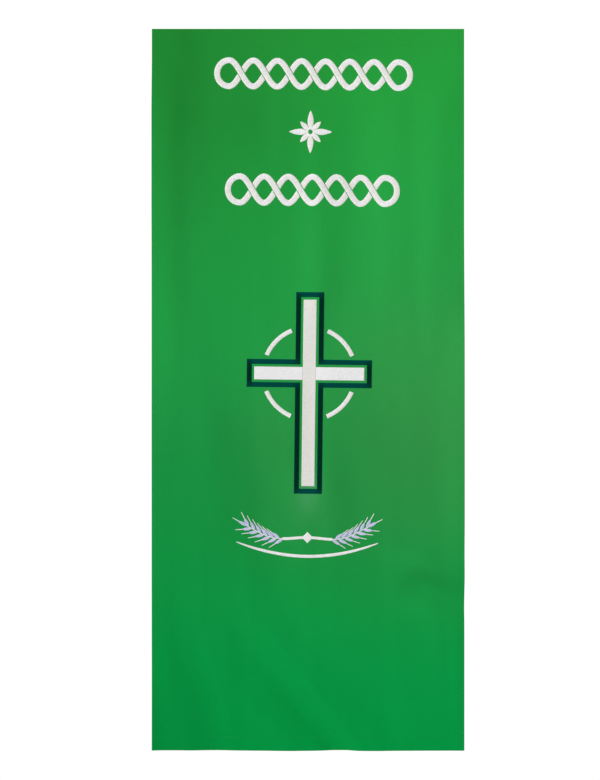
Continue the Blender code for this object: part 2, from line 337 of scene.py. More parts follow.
def body(name, points, faces, finish, smooth_angle=60.0):
    """A piece that rides on the row's one body, at the origin, with its place in its mesh."""
    mesh = bpy.data.meshes.new(name)
    mesh.from_pydata(points, [], faces)
    mesh.update()
    mesh.shade_smooth()
    mesh.set_sharp_from_angle(angle=math.radians(smooth_angle))
    mesh.materials.append(finish)
    piece = bpy.data.objects.new(name, mesh)
    bpy.context.scene.collection.objects.link(piece)
    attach(piece, "root")
    return piece


def ring_faces(stations, around, closed):
    """Quads between each ring of points and the next. An open run gets a face over each end."""
    here = np.arange(stations if closed else stations - 1)[:, None]
    turn = np.arange(around)[None, :]
    after, beside = (here + 1) % stations, (turn + 1) % around
    corners = (here * around + turn, here * around + beside, after * around + beside, after * around + turn)
    quads = np.stack(np.broadcast_arrays(*corners), axis=-1).reshape(-1, 4).tolist()
    if closed:
        return quads
    first = list(range(around))[::-1]
    last = [(stations - 1) * around + place for place in range(around)]
    return quads + [first, last]


def leaned(x, z, at):
    """Motif points turned by the lean about their own middle, then moved to their place."""
    turn_x = x * math.cos(LEAN) - z * math.sin(LEAN)
    turn_z = x * math.sin(LEAN) + z * math.cos(LEAN)
    return turn_x + at.x, turn_z + at.z


Stitches = namedtuple("Stitches", "points faces tone valley level")


def thread_body(x, z, height, tone, valley, level, closed=False, behind=False):
    """One stitched body. x, z and height are grids of stations by lanes: the lanes arch over the cloth,
    and the last face of each ring closes the body just under the cloth's face. Its threads carry a tone,
    how deep each point lies between threads, and how near to level the stroke runs."""
    y = face_y(x, z) + CLOTH + height if behind else face_y(x, z) - height
    faces = ring_faces(*x.shape, closed)
    if behind:
        faces = [face[::-1] for face in faces]
    values = [np.broadcast_to(value, x.shape).ravel() for value in (tone, valley, level)]
    return Stitches(np.stack([x, y, z], axis=-1).reshape(-1, 3), faces, *values)


def carry(piece, name, values):
    """One value for each of the piece's points, as an attribute that its material reads."""
    spread = piece.data.attributes.new(name, "FLOAT", "POINT")
    spread.data.foreach_set("value", np.asarray(values, np.float32))


def stitched(name, parts, finish, slot, *nodes):
    """One piece from several stitched bodies, with their thread values as attributes."""
    starts = np.cumsum([0] + [len(part.points) for part in parts])
    points = np.concatenate([part.points for part in parts])
    faces = [[start + corner for corner in face] for start, part in zip(starts, parts) for face in part.faces]
    piece = body(name, points, faces, finish)
    for value in ("tone", "valley", "level"):
        carry(piece, value, np.concatenate([getattr(part, value) for part in parts]))
    if nodes:
        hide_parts(*nodes)


def running_length(line):
    """Length from the line's first point to each of its points."""
    return np.concatenate([[0.0], np.cumsum(np.hypot(*np.diff(line, axis=0).T))])


def satin(left, right, at, crown=SATIN_CROWN, closed=False, span=None, seed=1, lanes=7, slant=0.0,
          thread=THREAD, behind=False):
    """Satin stitch between two edge lines. Threads one thread apart arch from edge to edge. Across, for
    a from -1 to 1, the height is crown times the square root of 1 - |a| to the 5, and the lanes lie
    closer together towards the edges. Along, each thread adds a ridge of |sin|, and the threads' reach,
    height and tone vary a little from one to the next. With span, only that stretch of the lines is
    sewn. With slant, the threads at both its ends lean that far."""
    run = running_length((left + right) / 2)
    first, last = span or (0.0, run[-1])
    threads = max(3, round((last - first) / thread))
    count = THREAD_STEPS * threads + (0 if closed else 1)
    phase = np.arange(count) / THREAD_STEPS
    share = phase / threads
    spot = first + share * (last - first)
    across = np.sin(np.linspace(-1.0, 1.0, lanes) * math.pi / 2)
    chance = np.random.default_rng(seed)
    own = np.minimum(phase.astype(int), threads - 1)
    reach = 1.0 + REACH_SPREAD * chance.uniform(-1.0, 1.0, threads)[own]
    puff = 1.0 + HEIGHT_SPREAD * chance.uniform(-1.0, 1.0, threads)[own]
    tone = chance.uniform(0.0, 1.0, threads)[own]
    ridge = np.abs(np.sin(math.pi * phase))
    lean = slant * (2.0 * share - 1.0) ** 2
    lane_spot = np.clip(spot[:, None] + lean[:, None] * across, 0.0, run[-1])
    side_l = np.stack([np.interp(lane_spot, run, left[:, axis]) for axis in (0, 1)])
    side_r = np.stack([np.interp(lane_spot, run, right[:, axis]) for axis in (0, 1)])
    place = (side_l + side_r) / 2 + (side_r - side_l) / 2 * across * reach[:, None]
    arch = np.sqrt(np.clip(1.0 - np.abs(across) ** 5, 0.0, 1.0))
    height = (crown * puff * (1.0 - RIDGE + RIDGE * ridge))[:, None] * arch - ROOTED * (arch < 1e-6)
    thread_x, thread_z = side_r[:, :, lanes // 2] - side_l[:, :, lanes // 2]
    level = thread_z**2 / np.maximum(thread_x**2 + thread_z**2, 1e-12)
    # Where the painted groove shade falls: between threads, less on the crown
    valley = (1.0 - ridge)[:, None] * (0.3 + 0.7 * arch)
    x, z = leaned(place[0], place[1], at)
    return thread_body(x, z, height, tone[:, None], valley, level[:, None], closed, behind)


def bobbin(edges, at, closed=False):
    """What shows behind a run of satin stitch: the same band, flat, in the machine's lower thread."""
    return satin(*edges, at, BOBBIN_CROWN, closed, seed=5, lanes=5, thread=BOBBIN_THREAD, behind=True)


def ribbon(path_x, path_z, half_width):
    """The two edge lines of a band: each path point carried half its width to both sides."""
    step_x, step_z = np.gradient(path_x), np.gradient(path_z)
    length = np.hypot(step_x, step_z)
    side_x, side_z = -half_width * step_z / length, half_width * step_x / length
    left = np.stack([path_x + side_x, path_z + side_z], axis=1)
    right = np.stack([path_x - side_x, path_z - side_z], axis=1)
    return left, right


def fill(start, end, width, at, seed):
    """Fill stitch in a straight bar: rows of stitches along the bar, one THREAD apart. Each row is a
    ridge of |sin|. It dips at every needle hole, FILL_STITCH apart, a third of a stitch further along
    in each next row. The height rounds off over the last FILL_RIM to the bar's edges and ends. A
    stitch's tone is the sine of large multiples of its own number and its row's, so that it looks
    drawn by chance."""
    start, end = np.array(start), np.array(end)
    length = np.hypot(*(end - start))
    way = (end - start) / length
    side = np.array([-way[1], way[0]])
    rows = round(width / THREAD)
    near_end = np.array(FILL_END_LINES)
    run = np.linspace(0.0, length, math.ceil(length / FILL_STEP) + 1)
    run = np.unique(np.concatenate([run, near_end, length - near_end]))
    phase = np.arange(THREAD_STEPS * rows + 1) / THREAD_STEPS
    across = (phase / rows - 0.5) * width
    row = np.minimum(phase.astype(int), rows - 1)
    chance = np.random.default_rng(seed)
    ridge = np.abs(np.sin(math.pi * phase))
    passed = run[:, None] / FILL_STITCH + row[None, :] / 3.0
    step = (passed + NEEDLE_SCATTER * chance.uniform(-1, 1, rows)[row]) % 1.0
    dip = np.exp(-((np.minimum(step, 1.0 - step) / NEEDLE_HOLE) ** 2))
    edge = quarter_round((width / 2 - np.abs(across)) / FILL_RIM)
    ends = quarter_round(np.minimum(run, length - run) / FILL_RIM)
    high = FILL_CROWN * edge * ends[:, None] * (1.0 - RIDGE + RIDGE * (ridge - dip))
    height = np.where(np.abs(across) > width / 2 - 1e-7, -ROOTED, high)
    x, z = leaned(
        start[0] + way[0] * run[:, None] + side[0] * across,
        start[1] + way[1] * run[:, None] + side[1] * across,
        at,
    )
    tone = 0.5 + 0.5 * np.sin(12.9898 * np.floor(passed) + 78.233 * row)
    # Where the painted groove shade falls: between rows and at the needle holes
    valley = np.clip((1.0 - ridge) * 0.8 + 0.6 * dip, 0.0, 1.0)
    level = way[0] ** 2
    return thread_body(x[:, ::-1], z[:, ::-1], height[:, ::-1], tone[:, ::-1], valley[:, ::-1], level)


class Graph:
    """A material with short ways to join its nodes. Each method returns the new node's output."""

    def __init__(self, name, roughness, shine):
        self.material = bpy.data.materials.new(name)
        self.material.use_nodes = True
        self.nodes, self.links = self.material.node_tree.nodes, self.material.node_tree.links
        self.shader = self.nodes["Principled BSDF"]
        self.shader.inputs["Roughness"].default_value = roughness
        self.shader.inputs["Specular IOR Level"].default_value = shine

    def feed(self, socket, value):
        """Links another node's output to the socket, or sets a plain value there."""
        if isinstance(value, bpy.types.NodeSocket):
            self.links.new(value, socket)
        else:
            socket.default_value = value

    def maths(self, operation, *values):
        """One Math node."""
        node = self.nodes.new("ShaderNodeMath")
        node.operation = operation
        for socket, value in zip(node.inputs, values):
            self.feed(socket, value)
        return node.outputs[0]

    def product(self, first, *others):
        """All the values multiplied together."""
        for other in others:
            first = self.maths("MULTIPLY", first, other)
        return first

    def between(self, share, start, end):
        """From start at a share of 0 to end at 1, in a straight line."""
        return self.maths("MULTIPLY_ADD", share, end - start, start)

    def rise(self, value, low, high):
        """From 0 at low to 1 at high, level at both ends."""
        node = self.nodes.new("ShaderNodeMapRange")
        node.interpolation_type = "SMOOTHSTEP"
        self.feed(node.inputs["Value"], value)
        node.inputs["From Min"].default_value = low
        node.inputs["From Max"].default_value = high
        return node.outputs["Result"]

    def bell(self, value, middle, width):
        """exp of minus ((value - middle) over width) squared."""
        away = self.product(self.maths("SUBTRACT", value, middle), 1.0 / width)
        return self.maths("EXPONENT", self.product(away, away, -1.0))

    def patch(self, east, up, place):
        """A bell across times a bell down."""
        across = self.bell(east, place.east, place.east_width)
        return self.product(across, self.bell(up, place.up, place.up_width))

    def place(self):
        """X, Y and Z in the object's own metres."""
        parts = self.nodes.new("ShaderNodeSeparateXYZ")
        self.links.new(self.nodes.new("ShaderNodeTexCoord").outputs["Object"], parts.inputs[0])
        return parts.outputs

    def attribute(self, name):
        """A value that the piece's points carry."""
        node = self.nodes.new("ShaderNodeAttribute")
        node.attribute_name = name
        return node.outputs["Fac"]

    def noise(self, scale, detail, stretch=(1.0, 1.0, 1.0)):
        """Soft noise from 0 to 1 in the object's own metres, drawn out where stretch is below 1."""
        spread = self.nodes.new("ShaderNodeMapping")
        spread.inputs["Scale"].default_value = stretch
        self.links.new(self.nodes.new("ShaderNodeTexCoord").outputs["Object"], spread.inputs["Vector"])
        node = self.nodes.new("ShaderNodeTexNoise")
        node.inputs["Scale"].default_value = scale
        node.inputs["Detail"].default_value = detail
        self.links.new(spread.outputs[0], node.inputs["Vector"])
        return node.outputs[0]

    def blend(self, kind, share, first, second):
        """Two colours mixed or multiplied, by a share."""
        node = self.nodes.new("ShaderNodeMix")
        node.data_type = "RGBA"
        node.blend_type = kind
        sockets = node.inputs["Factor"], node.inputs[6], node.inputs[7]
        for socket, value in zip(sockets, (share, first, second)):
            self.feed(socket, (*value, 1.0) if isinstance(value, tuple) else value)
        return node.outputs[2]

    def bands(self, value, stops):
        """Colour by value, blended between stops of (value, colour)."""
        node = self.nodes.new("ShaderNodeValToRGB")
        low, high = stops[0][0], stops[-1][0]
        spread = self.nodes.new("ShaderNodeMapRange")
        self.feed(spread.inputs["Value"], value)
        spread.inputs["From Min"].default_value = low
        spread.inputs["From Max"].default_value = high
        self.links.new(spread.outputs["Result"], node.inputs["Fac"])
        marks = node.color_ramp.elements
        for spot, _ in stops[1:-1]:
            marks.new((spot - low) / (high - low))
        for mark, (_, colour) in zip(marks, stops):
            mark.color = (*colour, 1.0)
        return node.outputs[0]

    def finish(self, colour, relief, strength, distance):
        """Puts the colour and a bump from the relief on the shader."""
        self.links.new(colour, self.shader.inputs["Base Color"])
        bump = self.nodes.new("ShaderNodeBump")
        bump.inputs["Strength"].default_value = strength
        bump.inputs["Distance"].default_value = distance
        self.links.new(relief, bump.inputs["Height"])
        self.links.new(bump.outputs[0], self.shader.inputs["Normal"])
        return self.material


def cloth_finish():
    """Plain weave in green that turns bluer and deeper towards the foot. A painted sheen makes it redder
    towards the top and paler to the right of the middle and in a few places, and soft patches of painted
    light and shade lighten or darken it. The weave is a product of sines, with fine slubs along the warp."""
    graph = Graph("green_plain_weave", roughness=0.85, shine=0.03)
    east, _, up = graph.place()
    # Colour by height, its redder top a painted sheen
    colour_and_sheen_by_height = graph.bands(up, CLOTH_COLOURS_WITH_SHEEN)
    # Painted sheen to the right of the middle
    paled = graph.product(graph.rise(east, -0.10, 0.18), graph.bell(up, -0.62, 0.22), 0.9)
    colour = graph.blend("MIX", paled, colour_and_sheen_by_height, CLOTH_SHEEN_PALE)
    for place in PAINTED_SHEEN_PLACES:
        paled = graph.product(graph.patch(east, up, place), place.amount)
        colour = graph.blend("MIX", paled, colour, CLOTH_SHEEN_PALE)
    bloom = graph.product(graph.patch(east, up, BLOOM_PLACE), BLOOM_PLACE.amount)
    colour = graph.blend("MIX", bloom, colour, CLOTH_BLOOM)
    # Painted light and shade: the crescent is the painted shade of a crease; then painted shade at the top
    # left, painted light right of the middle, darker bands lower down and at the foot's left corner, the
    # painted shade of a fold's streak by the left edge and near the top middle, and the lit places
    crescent = graph.bell(graph.maths("MULTIPLY_ADD", east, 0.311, up), -0.8214, 0.016)
    painted_light_and_shade = (
        (-0.23, graph.product(graph.rise(up, -0.52, -0.02), graph.rise(east, 0.16, -0.24))),
        (0.11, graph.product(graph.rise(east, -0.02, 0.12), graph.bell(up, -0.24, 0.20))),
        (-0.13, graph.bell(up, -0.70, 0.14)),
        (-0.09, graph.rise(up, -0.70, -0.88)),
        (-0.12, graph.product(graph.rise(east, -0.02, -0.22), graph.rise(up, -0.86, -1.13))),
        (-0.08, graph.product(graph.bell(east, -0.192, 0.028), graph.rise(up, -0.24, -0.06))),
        (-0.065, graph.product(crescent, graph.rise(east, 0.145, 0.185))),
        (-0.05, graph.product(graph.bell(east, 0.100, 0.120), graph.rise(up, -0.10, -0.02))),
        *((place.amount, graph.patch(east, up, place)) for place in LIT_PLACES),
    )
    # Random mottle and slubs of the yarn, which the painted light and shade then multiply
    mottle = graph.noise(7.0, 2.0, (1.0, 1.0, 0.35))
    slubs = graph.noise(900.0, 1.0, (1.0, 1.0, 0.12))
    light = graph.product(graph.between(mottle, 0.95, 1.05), graph.between(slubs, 0.96, 1.04))
    for amount, where in painted_light_and_shade:
        light = graph.product(light, graph.between(where, 1.0, 1.0 + amount))
    colour = graph.blend("MULTIPLY", 1.0, colour, light)
    turn = 2.0 * math.pi / WEAVE
    weft = graph.maths("SINE", graph.product(east, turn))
    warp = graph.maths("SINE", graph.product(up, turn))
    relief = graph.maths("ADD", graph.product(weft, warp, 0.5), graph.product(graph.noise(260.0, 2.0), 0.8))
    return graph.finish(colour, relief, strength=0.35, distance=0.0002)


def thread_finish(name, upright, level, roughness, shine):
    """Embroidery thread: its colour goes towards the level colour the nearer to level the stroke runs, a
    painted sheen, as satin stitch shines one way. Each thread has its own tone, and the grooves between
    threads are darker with painted shade."""
    graph = Graph(name, roughness, shine)
    # Painted sheen: level strokes take the lighter level colour
    colour = graph.blend("MIX", graph.attribute("level"), upright, level)
    tone = graph.between(graph.attribute("tone"), 0.95, 1.04)
    # Painted shade in the grooves between threads and at needle holes
    groove_shade = graph.between(graph.attribute("valley"), 1.0, 0.68)
    mottle = graph.between(graph.noise(330.0, 2.0), 0.88, 1.12)
    colour = graph.blend("MULTIPLY", 1.0, colour, graph.product(tone, groove_shade, mottle))
    return graph.finish(colour, graph.noise(2600.0, 1.0), strength=0.25, distance=0.0001)


def grid_lines(low, high, step, edges):
    """Even lines no further apart than step from low to high, with the finer lines of the edges."""
    even = np.linspace(low, high, math.ceil((high - low) / step) + 1)
    near = np.array(edges)
    kept = even[np.abs(even[:, None] - near).min(axis=1) > step / 3]
    return np.unique(np.round(np.concatenate([kept, near]), 7))


def make_panel(finish):
    """The woven panel as one closed sheet: face and back share a grid, the back stands off by the cloth
    and by the layers turned behind it, and the outer edges round off as folded cloth does."""
    half = WIDTH / 2
    rim, step = np.array(RIM_LINES), np.array(HEM_EDGE_LINES)
    side = np.concatenate([half - rim, half - SIDE_HEM + step])
    x_lines = grid_lines(-half, half, PANEL_COLUMN, np.concatenate([-side, side]))
    z_edges = np.concatenate([-rim, -TOP_HEM + step, -DROP + rim, -DROP + BOTTOM_HEM - step])
    z_lines = grid_lines(-DROP, 0.0, PANEL_ROW, z_edges)
    x, z = np.meshgrid(x_lines, z_lines, indexing="ij")
    thick = CLOTH + TURNED_LAYER * turned_layers(x, z)
    inward = np.minimum(np.minimum(half - np.abs(x), -z), z + DROP)
    middle = face_y(x, z) + thick / 2
    bulge = np.maximum(quarter_round(inward / (thick / 2)), RIM_THICKNESS) * thick / 2
    layers = np.stack([np.stack([x, middle + side * bulge, z], axis=-1) for side in (-1, 1)])
    columns, rows = x.shape
    column, row = np.meshgrid(np.arange(columns - 1), np.arange(rows - 1), indexing="ij")
    here, beside = column * rows + row, (column + 1) * rows + row
    near = np.stack([here, beside, beside + 1, here + 1], axis=-1).reshape(-1, 4)
    far = near[:, ::-1] + columns * rows
    left, foot = np.arange(rows), np.arange(columns) * rows
    right, head = left + (columns - 1) * rows, foot + rows - 1
    rim_loop = np.concatenate([foot[:-1], right[:-1], head[:0:-1], left[:0:-1]])
    beyond = np.roll(rim_loop, -1)
    walls = np.stack([beyond, rim_loop, rim_loop + columns * rows, beyond + columns * rows], axis=-1)
    panel = body("panel", layers.reshape(-1, 3), np.concatenate([near, far, walls]).tolist(), finish, 75.0)
    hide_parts("cloth")
    return panel


def make_hem_stitches(name, finish, back):
    """Lockstitch along the four hems: each stitch is a five-sided spindle, thickest at its middle, that
    sinks into the cloth at both ends."""
    side, reach = WIDTH / 2 - SIDE_HEM + HEM_STITCH_INSET, WIDTH / 2 - HEM_STITCH_END
    top, foot = -TOP_HEM + HEM_STITCH_INSET, -DROP + BOTTOM_HEM - HEM_STITCH_INSET
    high, low = -HEM_STITCH_END, -DROP + HEM_STITCH_END
    lines = (
        ((-side, high), (-side, low)),
        ((side, high), (side, low)),
        ((-reach, top), (reach, top)),
        ((-reach, foot), (reach, foot)),
    )
    share, girth, sink = (np.array(column) for column in zip(*HEM_STITCH_SECTIONS))
    girth = girth * HEM_STITCH_WIDTH / 2
    turn = 2 * math.pi * np.arange(HEM_STITCH_SIDES) / HEM_STITCH_SIDES
    points = []
    for start, end in lines:
        start, end = np.array(start), np.array(end)
        length = np.hypot(*(end - start))
        way = (end - start) / length
        count = int((length - HEM_STITCH) / HEM_STITCH_PITCH) + 1
        begins = np.arange(count) * HEM_STITCH_PITCH
        run = (begins[:, None] + share * HEM_STITCH)[:, :, None]
        aside = girth[:, None] * np.cos(turn)
        x = start[0] + way[0] * run - way[1] * aside
        z = start[1] + way[1] * run + way[0] * aside
        depth = sink[:, None] - girth[:, None] * np.sin(turn)
        if back:
            y = face_y(x, z) + CLOTH + TURNED_LAYER * turned_layers(x, z) - depth
        else:
            y = face_y(x, z) + depth
        points.append(np.stack([x, y, z], axis=-1).reshape(-1, 3))
    points = np.concatenate(points)
    one = ring_faces(len(share), HEM_STITCH_SIDES, closed=False)
    if back:
        one = [face[::-1] for face in one]
    firsts = range(0, len(points), len(share) * HEM_STITCH_SIDES)
    faces = [[first + corner for corner in face] for first in firsts for face in one]
    piece = body(name, points, faces, finish)
    # Fixed values: a mid tone, a little painted groove shade, and half of the level colour's painted sheen
    for value, fixed in (("tone", 0.6), ("valley", 0.2), ("level", 0.5)):
        carry(piece, value, np.full(len(points), fixed))
    return piece


def plait_loop(eyes):
    """The plait's middle line as one closed loop: a wave with one half turn to each eye that runs to the
    right, a half ellipse round the end, and its mirror image back to the left."""
    turn = np.linspace(-math.pi / 2, math.pi / 2, 49)[:-1]
    wave = np.linspace(0.5, eyes - 0.5, (eyes - 1) * 40 + 1)[:-1]
    end_side = 1.0 if eyes % 2 else -1.0
    out_x, out_z = wave, np.sin(math.pi * wave)
    right_x, right_z = eyes - 0.5 + 0.5 * np.cos(turn), -end_side * np.sin(turn)
    left_x, left_z = 0.5 - 0.5 * np.cos(turn), np.sin(turn)
    along = np.concatenate([out_x, right_x, out_x[::-1] + wave[1] - wave[0], left_x])
    back_z = -np.sin(math.pi * (out_x[::-1] + wave[1] - wave[0]))
    swing = np.concatenate([out_z, right_z, back_z, left_z])
    return (along - eyes / 2) * EYE_LENGTH, PLAIT_SWING * swing


def make_plait(name, eyes, at, finish, node, back_sewing):
    """Two satin strands that pass over and under in turn. The lower strand stops just short of the upper
    one, so the loop is sewn in as many lengths as it has crossings. Each length runs from one place
    where it is under to the next, and its end threads lean to lie along the strand above."""
    path_x, path_z = plait_loop(eyes)
    laps = [np.tile(values, 3) for values in (path_x, path_z)]
    left, right = ribbon(*laps, STRAND / 2)
    run = running_length((left + right) / 2)
    middle = len(path_x)
    once_round = slice(middle, 2 * middle + 1)
    back_sewing.append(bobbin((left[once_round], right[once_round]), at, closed=True))
    lap = run[2 * middle] - run[middle]
    steep = math.atan(PLAIT_SWING * math.pi / EYE_LENGTH)
    cut = (STRAND / 2 + STRAND_GAP) / math.sin(math.pi - 2 * steep)
    slant = -STRAND / 2 / math.tan(math.pi - 2 * steep)
    ahead = run[middle : 2 * middle]
    crossings = []
    for crossing in range(1, eyes):
        there = (crossing - eyes / 2) * EYE_LENGTH
        outward = crossing % 2 == 0
        half = slice(0, middle // 2) if outward else slice(middle // 2, middle)
        nearest = np.argmin(np.hypot(path_x[half] - there, path_z[half]))
        crossings.append(ahead[half][nearest])
    crossings = sorted(crossings)
    crossings.append(crossings[0] + lap)
    parts = []
    for number, (start, stop) in enumerate(zip(crossings[:-1], crossings[1:])):
        length = (start + cut, stop - cut)
        parts.append(satin(left, right, at, span=length, seed=10 + number, slant=slant))
    stitched(name, parts, finish, "thread_white", node)


def leaf(start, way, length, half_width, steps=24):
    """Edge lines of a leaf from start along way. For t from 0 to 1 along it, each edge stands off by
    the half width times the 0.8th power of the sine of pi times t to the 0.75, plus LEAF_TIP."""
    share = np.linspace(0.0, 1.0, steps + 1)
    half = half_width * np.maximum(np.sin(math.pi * share**0.75), 0.0) ** 0.8 + LEAF_TIP
    way = np.array(way) / np.hypot(*way)
    middle = np.array(start) + share[:, None] * length * way
    side = np.stack([-way[1] * half, way[0] * half], axis=1)
    return middle + side, middle - side


def make_rosette(finish, back_sewing):
    """Eight satin leaves, long and short in turn, round an eye with a satin rim."""
    parts = []
    for petal in range(8):
        angle = petal * math.pi / 4
        way = np.array([math.cos(angle), math.sin(angle)])
        reach, half = ROSETTE_LONG, PETAL_HALF
        if petal % 2:
            reach, half = ROSETTE_SHORT, SHORT_PETAL * PETAL_HALF
        edges = leaf(way * PETAL_ROOT, way, reach - PETAL_ROOT, half)
        parts.append(satin(*edges, ROSETTE_AT, seed=30 + petal))
        back_sewing.append(bobbin(edges, ROSETTE_AT))
    turn = np.linspace(0.0, 2 * math.pi, 73)
    circle = np.stack([np.cos(turn), np.sin(turn)], axis=1)
    parts.append(satin(circle * ROSETTE_EYE, circle * EYE_RIM, ROSETTE_AT, closed=True, seed=39))
    stitched("rosette_petals", parts, finish, "thread_white", "rosette")


def make_cross(finish, back_sewing):
    """The upright in one run of fill stitch, and an arm on each side that butts against it."""
    butt = BAR / 2 + BUTT_GAP
    bars = [((0.0, -FOOT), (0.0, HEAD))]
    bars += [((side * ARM_SPAN / 2, 0.0), (side * butt, 0.0)) for side in (-1, 1)]
    parts = []
    for number, (start, end) in enumerate(bars):
        parts.append(fill(start, end, BAR, CROSSING_AT, 41 + number))
        line = np.linspace(start, end, 60)
        back_sewing.append(bobbin(ribbon(line[:, 0], line[:, 1], BAR / 2), CROSSING_AT))
    stitched("cross_fill", parts, finish, "thread_white", "cross")


def cross_outline(grown):
    """The cross's outline moved out by grown: its twelve corners from the head's, anticlockwise, and
    the first one once more."""
    bar, arm = BAR / 2 + grown, ARM_SPAN / 2 + grown
    head, foot = HEAD + grown, -FOOT - grown
    left_side = [(-bar, head), (-bar, bar), (-arm, bar), (-arm, -bar), (-bar, -bar), (-bar, foot)]
    right_side = [(-x, z) for x, z in reversed(left_side)]
    return np.array([right_side[-1], *left_side, *right_side])


def mitred(inner, outer):
    """Two matched edge lines for a border between two outlines of straight sides. Both lines have the
    same two places along each side, MITRE_FAN in from whichever corner is nearer, so that the threads
    between those are square to the side and turn to the mitre only past them."""
    side = inner[1:] - inner[:-1]
    way = side / np.hypot(*side.T)[:, None]
    begins = [(corners[:-1] * way).sum(axis=1) for corners in (inner, outer)]
    ends = [(corners[1:] * way).sum(axis=1) for corners in (inner, outer)]
    low, high = np.maximum(*begins) + MITRE_FAN, np.minimum(*ends) - MITRE_FAN
    lines = []
    for corners, begin in zip((inner, outer), begins):
        near, far = (corners[:-1] + (along - begin)[:, None] * way for along in (low, high))
        line = np.stack([corners[:-1], near, far], axis=1).reshape(-1, 2)
        lines.append(np.concatenate([line, corners[-1:]]))
    return lines


def make_edging(finish, back_sewing):
    """A satin border round the cross, its threads square to each side and fanned at the mitres."""
    edges = mitred(cross_outline(EDGING_GAP), cross_outline(EDGING_GAP + EDGING))
    border = satin(*edges, CROSSING_AT, closed=True, seed=50)
    back_sewing.append(bobbin(edges, CROSSING_AT, closed=True))
    stitched("cross_border", [border], finish, "thread_dark_green", "cross_edging")


def make_ring(finish, back_sewing):
    """Four satin arcs of one ring between the arms of the edged cross."""
    half_arm = BAR / 2 + EDGING_GAP + EDGING + RING_CLEARANCE
    first = math.asin(half_arm / (RING_RADIUS - RING / 2))
    parts = []
    for quarter in range(4):
        angle = quarter * math.pi / 2 + np.linspace(first, math.pi / 2 - first, 40)
        circle = np.stack([np.cos(angle), np.sin(angle)], axis=1)
        edges = circle * (RING_RADIUS - RING / 2), circle * (RING_RADIUS + RING / 2)
        parts.append(satin(*edges, CROSSING_AT, seed=60 + quarter))
        back_sewing.append(bobbin(edges, CROSSING_AT))
    nodes = [f"ring_arc_{quarter + 1}" for quarter in range(4)]
    stitched("ring_satin", parts, finish, "thread_white", *nodes)


def stalk_z(x):
    """Height of both stalks at a distance from the knot, t being its share of EAR_TO: the rise times t
    squared, less the sag times the square of the sine of pi t."""
    share = np.abs(x) / EAR_TO
    return EAR_RISE * share**2 - EAR_SAG * np.sin(math.pi * share) ** 2


def stalk_slope(x, near=1e-4):
    """Rise of the stalks over their run, from the heights just before and just past x."""
    return (stalk_z(x + near) - stalk_z(x - near)) / (2 * near)


def awn(start, way):
    """A line of running stitch from a grain's tip, its width falling evenly by AWN_TAPER of itself."""
    share = np.linspace(0.0, 1.0, 9)
    middle = start + share[:, None] * AWN * way
    half = AWN_WIDTH / 2 * (1.0 - AWN_TAPER * share)
    edge = np.stack([-way[1] * half, way[0] * half], axis=1)
    return satin(middle + edge, middle - edge, EARS_AT, AWN_CROWN, seed=95, lanes=5)


def toward(side, angle):
    """Unit vector at an angle above the outward direction of that side, -1 for left and 1 for right."""
    return np.array([side * math.cos(angle), math.sin(angle)])


def make_ears(grain_finish, line_finish, back_sewing):
    """On each ear, slim satin grains stand in turn above and below a fine spine that carries the stalk
    on, and one closes the tip. A fine awn goes on from each grain."""
    share = (np.arange(2 * GRAINS) + 0.2) / (2 * GRAINS)
    spots = EAR_FROM + (EAR_TO - EAR_FROM - GRAIN_LENGTH) * share
    slopes = np.arctan(stalk_slope(spots))
    lines = []
    for side, name in ((-1.0, "left"), (1.0, "right")):
        grains = []
        for grain, (x, slope) in enumerate(zip(spots, slopes)):
            way = toward(side, slope + (GRAIN_SPREAD if grain % 2 else -GRAIN_SPREAD))
            start = np.array([side * x, stalk_z(x)]) + GRAIN_OFFSET * way
            edges = leaf(start, way, GRAIN_LENGTH, GRAIN_HALF, 16)
            grains.append(satin(*edges, EARS_AT, seed=70 + grain))
            back_sewing.append(bobbin(edges, EARS_AT))
            lines.append(awn(start + way * (GRAIN_LENGTH - AWN_LAP), way))
        tip_x = EAR_TO - GRAIN_LENGTH
        way = toward(side, slopes[-1])
        start = np.array([side * tip_x, stalk_z(tip_x)])
        grains.append(satin(*leaf(start, way, GRAIN_LENGTH, GRAIN_HALF, 16), EARS_AT, seed=90))
        lines.append(awn(start + way * (GRAIN_LENGTH - AWN_LAP), way))
        run = np.linspace(EAR_FROM + STALK_LAP, tip_x, 41)
        lines.append(satin(*ribbon(side * run, stalk_z(run), AWN_WIDTH / 2), EARS_AT, AWN_CROWN, lanes=5))
        stitched(f"ear_{name}_grains", grains, grain_finish, "thread_lavender", f"ear_{name}")
    stitched("ear_awns", lines, line_finish, "thread_white")


def make_stalks(finish, back_sewing):
    """Both stalks in one band of satin. Its half width is half of STALK, or KNOT less the distance
    from the middle where that is more, which makes a lozenge."""
    end = EAR_FROM + STALK_LAP
    run = np.linspace(-end, end, 121)
    half = np.maximum(STALK / 2, KNOT - np.abs(run))
    edges = ribbon(run, stalk_z(run), half)
    band = satin(*edges, EARS_AT, seed=101)
    back_sewing.append(bobbin(edges, EARS_AT))
    stitched("stalk_satin", [band], finish, "thread_white", "stalks")


def make_bow(finish, back_sewing):
    """The bowed line under the ears. For t from -1 to 1 it rises by BOW_RISE times t squared, and its
    width falls by BOW_TAPER times t to the 4."""
    run = np.linspace(-EAR_TO, EAR_TO, 161)
    share = run / EAR_TO
    edges = ribbon(run, BOW_RISE * share**2 - BOW_BELOW, BOW / 2 * (1.0 - BOW_TAPER * share**4))
    band = satin(*edges, EARS_AT, seed=102)
    back_sewing.append(bobbin(edges, EARS_AT))
    stitched("bow_satin", [band], finish, "thread_white", "bow")


